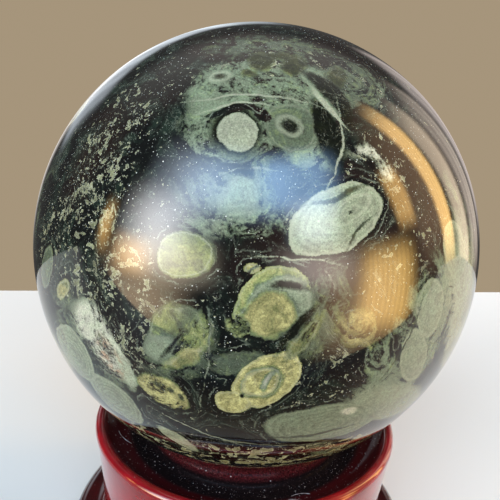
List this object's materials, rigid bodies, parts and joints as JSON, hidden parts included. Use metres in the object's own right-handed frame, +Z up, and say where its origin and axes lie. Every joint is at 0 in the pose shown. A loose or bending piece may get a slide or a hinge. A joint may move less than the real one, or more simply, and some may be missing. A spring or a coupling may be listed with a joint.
{
  "type": "jasper sphere on a wooden stand",
  "caption": "Polished green and black orb-patterned jasper sphere resting on the raised ring inside the dish of a turned, red-lacquered wooden stand.",
  "frame": {"origin": "centre of the stand's underside, on the surface it stands on", "axes": "+Z up along the stand's turning axis and through the sphere's centre; -Y is the side the picture is taken from, +X is to the right there"},
  "size_m": [0.1, 0.1, 0.129],
  "materials": {
    "polished_jasper": "mirror-polished, black ground with sage-green and olive orbs, cream patches and fine pale flecks",
    "red_lacquer": "high-gloss deep red lacquer over turned wood, darker in the dish and at the foot"
  },
  "bodies": {
    "root": {"jasper_sphere": "polished_jasper", "wooden_stand": "red_lacquer"}
  },
  "joints": []
}
